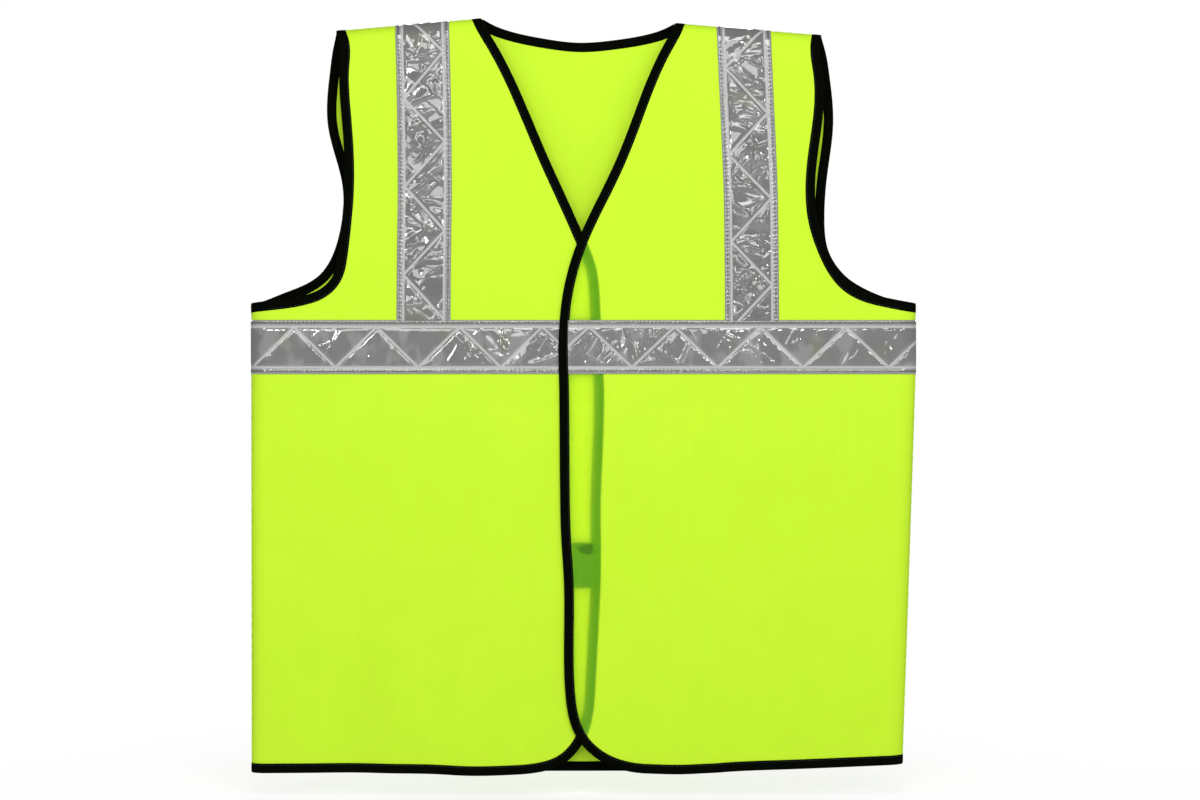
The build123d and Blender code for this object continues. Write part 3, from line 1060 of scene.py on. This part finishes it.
def woven(tree):
    """Black woven binding."""
    vector, parts = flat_place(tree)
    weave = lattice(tree, parts, 0.9)
    fibre = grain(tree, vector, 1.1, 3.0)
    share = weighted(tree, (fibre, 0.5), (grain(tree, vector, 14.0), 0.5))
    colour = tint(tree, share, (0.0006, 0.0010, 0.0003), (0.0020, 0.0028, 0.0012))
    height = weighted(tree, (weave, 1), (fibre, 0.8))
    return principled(tree, colour, 0.8, 0.015, relief(tree, height, 0.6, 0.15))


def weld_mask(tree, parts):
    """1 on the film's weld lines: the same lines as weld_distance gives."""
    half_inner = HALF_INNER * MM
    from_middle = maths(tree, "SUBTRACT", parts[1], TAPE_WIDTH / 2 * MM)
    size = maths(tree, "ABSOLUTE", from_middle)
    border = maths(tree, "ABSOLUTE", maths(tree, "SUBTRACT", size, half_inner))
    zigzag_at = maths(tree, "SUBTRACT", maths(tree, "PINGPONG", parts[0], 2 * half_inner), half_inner)
    slant = math.hypot(1, 4 * HALF_INNER / WELD_PITCH)
    aside = maths(tree, "ABSOLUTE", maths(tree, "SUBTRACT", from_middle, zigzag_at))
    outside = maths(tree, "GREATER_THAN", size, half_inner)
    zigzag = maths(tree, "ADD", maths(tree, "DIVIDE", aside, slant), outside)
    nearest = maths(tree, "MINIMUM", border, zigzag)
    return ramp(tree, nearest, (WELD_HALF_WIDTH - 0.35) * MM, (WELD_HALF_WIDTH + 0.35) * MM, 1.0, 0.0)


def film_over_prisms(tree):
    """Silver-grey prismatic tape under clear film, with matte weld lines, painted soft highlights of the
    lights on the film, and dark stitch lines that are partly needle holes and partly painted shade.
    """
    vector, parts = flat_place(tree)
    weld = weld_mask(tree, parts)
    fine = grain(tree, vector, 1.6, 3.0, 0.6)
    share = weighted(tree, (grain(tree, vector, 22.0), 0.8), (fine, 0.2))
    colour = tint(tree, share, (0.085, 0.087, 0.086), (0.155, 0.158, 0.155))
    chest = maths(tree, "MULTIPLY", parts[2], 0.33 / MM)
    colour = tint(tree, chest, colour, (0.19, 0.192, 0.187))
    green = ramp(tree, grain(tree, vector, 38.0, 1.0), 0.56, 0.72, 0.0, 0.35)
    colour = tint(tree, green, colour, (0.16, 0.19, 0.09))
    # Painted highlight: broad soft pale patches stand in for the film's reflection of the big lights,
    # stronger on the chest tapes.
    highlight_noise = grain(tree, scaled(tree, vector, (1, 0.6, 1)), 27.0, 2.5, 0.6)
    highlight_strength = maths(tree, "MULTIPLY_ADD", chest, 0.55, 0.12)
    painted_highlight = maths(tree, "MULTIPLY", ramp(tree, highlight_noise, 0.5, 0.6, 0.0, 1.0), highlight_strength)
    colour = tint(tree, painted_highlight, colour, (0.33, 0.33, 0.335))
    from_edge = maths(tree, "PINGPONG", parts[1], TAPE_WIDTH / 2 * MM)
    margin = ramp(tree, from_edge, (WELD_INSET - 1.5) * MM, (WELD_INSET - 0.5) * MM, 0.8, 0.0)
    colour = tint(tree, margin, colour, (0.225, 0.227, 0.223))
    # A dark line along each stitch row: partly needle holes, partly painted shade in the groove the stitches
    # pull into the film.
    from_stitches = maths(tree, "ABSOLUTE", maths(tree, "SUBTRACT", from_edge, STITCH_INSET * MM))
    needle_holes_and_shade = ramp(tree, from_stitches, 0.5 * MM, 1.1 * MM, 0.75, 0.0)
    colour = tint(tree, needle_holes_and_shade, colour, (0.05, 0.05, 0.05))
    colour = tint(tree, weld, colour, (0.375, 0.377, 0.37))
    roughness = ramp(tree, weld, 0.0, 1.0, 0.42, 0.7)
    prisms = relief(tree, weighted(tree, (fine, 1), (lattice(tree, parts, 0.8), 0.3)), 0.25, 0.25)
    film = add(tree, "Attribute", attribute_name="film").outputs["Fac"]
    clear = add(tree, "Bump", {"Strength": 1.0, "Distance": 0.6, "Height": film})
    return principled(tree, colour, roughness, 0.1, prisms, {
        "Coat Weight": maths(tree, "MULTIPLY_ADD", weld, -0.9, 1.0), "Coat Roughness": 0.02,
        "Coat IOR": 1.6, "Coat Normal": clear.outputs[0],
    })


def thread(tree, dark, light):
    """Twisted sewing thread."""
    twist = grain(tree, add(tree, "TexCoord").outputs["Object"], 0.5)
    return principled(tree, tint(tree, twist, dark, light), 0.5, 0.5, relief(tree, twist, 0.5, 0.05))


def fastener(tree, dark, light, size):
    """Hook or loop tape, with hooks or loops of this size."""
    fuzz = grain(tree, flat_place(tree)[0], size, 4.0, 0.7)
    colour = tint(tree, fuzz, dark, light)
    return principled(tree, colour, 0.8, 0.06, relief(tree, fuzz, 0.8, 0.4), {"Sheen Weight": 0.02})


# Camera, lights and floor. Places and sizes of the lights and the floor are in metres.

def make_camera():
    """Straight on, at the height of the vest's middle."""
    data = bpy.data.cameras.new("camera")
    data.lens = 85.0
    camera = bpy.data.objects.new("camera", data)
    bpy.context.scene.collection.objects.link(camera)
    camera.location = Vector((CAMERA_X, FRONT_Y[LEFT] - CAMERA_DISTANCE, CAMERA_Z)) * MM
    camera.rotation_euler = (math.radians(90), 0, 0)
    bpy.context.scene.camera = camera


def softbox(name, location, size, radiance):
    """A square area light that faces the vest's middle."""
    light = bpy.data.lights.new(name, "AREA")
    light.shape = "SQUARE"
    light.size = size
    light.energy = math.pi * size**2 * radiance
    box = bpy.data.objects.new(name, light)
    bpy.context.scene.collection.objects.link(box)
    box.location = location
    towards_vest = Vector((0, 0, HEM / 2 * MM)) - Vector(location)
    box.rotation_mode = "QUATERNION"
    box.rotation_quaternion = towards_vest.to_track_quat("-Z", "Y")


def make_studio():
    """The lights, and a world that is white to the camera and dimmer to everything else."""
    softbox("front_left", (-0.95, -1.75, 0.25), 0.42, 7.6)
    softbox("front_right", (0.95, -1.75, 0.30), 0.42, 7.6)
    softbox("front_top", (0.1, -1.25, 0.60), 0.58, 10.5)
    softbox("above_camera", (-0.1, -2.3, 0.2), 0.62, 6.3)
    softbox("small_left", (-0.5, -1.95, -0.05), 0.19, 28)
    softbox("small_right", (0.55, -1.95, 0.05), 0.19, 28)
    softbox("back_left", (1.0, 1.8, 0.3), 0.5, 13)
    softbox("back_right", (-1.0, 1.8, 0.3), 0.5, 13)
    softbox("back_top", (0.0, 1.7, 0.75), 0.6, 11)
    world = bpy.data.worlds.new("studio")
    world.use_nodes = True
    tree = world.node_tree
    seen = add(tree, "LightPath").outputs["Is Camera Ray"]
    strength = ramp(tree, seen, 0.0, 1.0, 0.3, 1.0)
    tree.nodes["Background"].inputs["Color"].default_value = (1, 1, 1, 1)
    tree.links.new(strength, tree.nodes["Background"].inputs["Strength"])
    bpy.context.scene.world = world
    bpy.context.scene.view_settings.view_transform = "Standard"


def glowing_floor(tree):
    """White, and brighter away from the vest until it matches the backdrop."""
    paint = add(tree, "BsdfPrincipled", {
        "Base Color": (0.95, 0.95, 0.95, 1), "Roughness": 0.9, "Specular IOR Level": 0.1,
    })
    glow = add(tree, "Emission", {"Color": (1, 1, 1, 1), "Strength": 1.0})
    flat = scaled(tree, add(tree, "TexCoord").outputs["Object"], (1, 1, 0))
    away = add(tree, "VectorMath", {0: flat}, operation="LENGTH").outputs["Value"]
    share = ramp(tree, away, 0.0, 0.8, 0.55, 1.0)
    return add(tree, "MixShader", {0: share, 1: paint.outputs[0], 2: glow.outputs[0]})


def make_floor():
    """A floor just below the hem."""
    half = 3.0
    height = (HEM - 22) * MM
    corners = [(-half, -half, height), (half, -half, height), (half, half, height), (-half, half, height)]
    mesh = bpy.data.meshes.new("floor")
    mesh.from_pydata(corners, [], [[0, 1, 2, 3]])
    mesh.materials.append(material(glowing_floor, "pale_floor"))
    floor = bpy.data.objects.new("floor", mesh)
    bpy.context.scene.collection.objects.link(floor)


# The vest

def make_vest():
    """All the pieces of the vest."""
    back, back_area = back_panel()
    back_trim = [neck_binding(), back_hem_binding(), back_chest_tape()]
    for side in SIGN:
        panel, area = front_panel(side)
        seams(side)
        edge = edge_binding(side)
        back_trim += [armhole_binding(side), brace_tape(side)]
        chest = front_chest_tape(side)
        stitching(f"stitches_{side}_chest", chest_stitches(side), True, side)
        stitching(f"stitches_{side}_brace", brace_stitches(side), True)
        stitching(f"stitches_{side}_edge_trim", edge_stitches(side), False, side)
        stitching(f"stitches_{side}_armhole_trim", armhole_stitches(side), False)
    patch(LEFT, "hook_patch", -1, "hook_tape", (0.0010, 0.0015, 0.0006), (0.010, 0.011, 0.008), 0.9)
    patch(RIGHT, "loop_patch", 1, "loop_tape", (0.0015, 0.0022, 0.0008), (0.015, 0.016, 0.012), 1.6)


make_camera()
make_studio()
make_floor()
make_vest()
